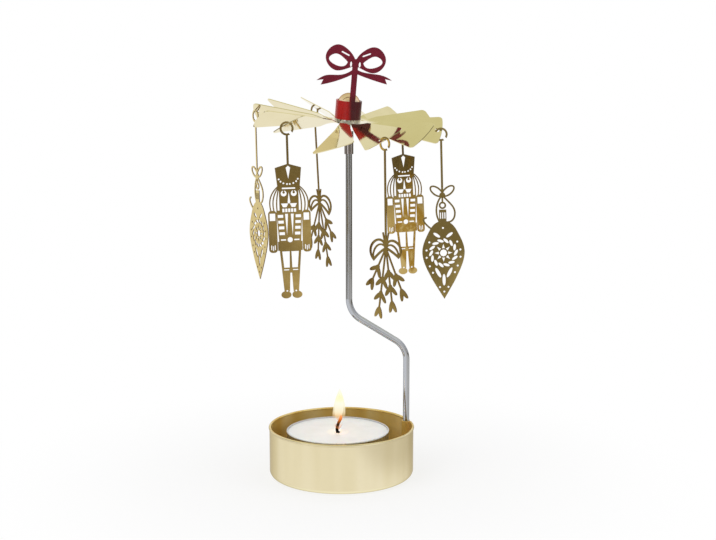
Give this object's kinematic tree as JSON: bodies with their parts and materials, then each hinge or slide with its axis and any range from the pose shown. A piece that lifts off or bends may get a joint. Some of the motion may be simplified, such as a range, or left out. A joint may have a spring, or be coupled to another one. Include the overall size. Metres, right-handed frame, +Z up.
{
  "type": "angel chime carousel",
  "caption": "Tealight holder whose rising heat turns a wheel of twisted vanes on a needle, with flat pierced ornaments hanging from it.",
  "frame": {"origin": "centre of the flat underside of the base tin", "axes": "+Z up along the spindle, +X to the side where the wire stands in the tin, -Y to the front"},
  "size_m": [0.0772, 0.0727, 0.1545],
  "materials": {
    "tin_gold": "satin lacquered tinplate",
    "steel_wire": "drawn wire",
    "collar_steel": "satin",
    "needle_steel": "polished",
    "cup_aluminium": "bright foil",
    "wax": "smooth wax",
    "sustainer_tin": "bright",
    "wick": "charred cotton",
    "vane_gold": "mirror bright",
    "hub_gold": "polished",
    "eyelet_nickel": "bright",
    "red_lacquer": "gloss",
    "bauble_gold": "bright etched sheet",
    "nutcracker_gold": "bright etched sheet",
    "mistletoe_gold": "bright etched sheet"
  },
  "bodies": {
    "stand": {"base_tin": "tin_gold", "wire_stand": "steel_wire", "collar": "collar_steel", "pivot_needle": "needle_steel"},
    "tealight": {"tealight_cup": "cup_aluminium", "tealight_wax": "wax", "wick_sustainer": "sustainer_tin", "wick": "wick"},
    "rotor": {"vane_wheel": "vane_gold", "hub_cap": "hub_gold", "hub_eyelet": "eyelet_nickel", "bow_finial": "red_lacquer"},
    "bauble_1": {"bauble_1": "bauble_gold"},
    "bauble_2": {"bauble_2": "bauble_gold"},
    "nutcracker_1": {"nutcracker_1": "nutcracker_gold"},
    "nutcracker_2": {"nutcracker_2": "nutcracker_gold"},
    "mistletoe_1": {"mistletoe_1": "mistletoe_gold"},
    "mistletoe_2": {"mistletoe_2": "mistletoe_gold"}
  },
  "joints": [
    {"name": "tealight_lift", "type": "slide", "parent": "stand", "child": "tealight", "axis": [0, 0, 1], "range_m": [0, 0.019]},
    {"name": "rotor_spin", "type": "hinge", "parent": "stand", "child": "rotor", "pos_m": [0.0028, 0, 0.1374], "axis": [0, 0, 1], "continuous": true},
    {"name": "bauble_1_swing", "type": "hinge", "parent": "rotor", "child": "bauble_1", "pos_m": [0.03502, -0.00339, 0.12354], "axis": [0, -1, 0], "range_deg": [-14, 14]},
    {"name": "bauble_2_swing", "type": "hinge", "parent": "rotor", "child": "bauble_2", "pos_m": [-0.0304, 0.00464, 0.12976], "axis": [-0.866, -0.5, 0], "range_deg": [-14, 14]},
    {"name": "nutcracker_1_swing", "type": "hinge", "parent": "rotor", "child": "nutcracker_1", "pos_m": [0.02228, 0.02702, 0.12664], "axis": [0.1392, -0.9903, 0], "range_deg": [-14, 14]},
    {"name": "nutcracker_2_swing", "type": "hinge", "parent": "rotor", "child": "nutcracker_2", "pos_m": [-0.01768, -0.02575, 0.12644], "axis": [0.1392, -0.9903, 0], "range_deg": [-14, 14]},
    {"name": "mistletoe_1_swing", "type": "hinge", "parent": "rotor", "child": "mistletoe_1", "pos_m": [-0.01032, 0.03093, 0.13088], "axis": [0.7986, 0.6018, 0], "range_deg": [-14, 14]},
    {"name": "mistletoe_2_swing", "type": "hinge", "parent": "rotor", "child": "mistletoe_2", "pos_m": [0.01486, -0.02957, 0.12153], "axis": [-0.7071, -0.7071, 0], "range_deg": [-14, 14]}
  ]
}
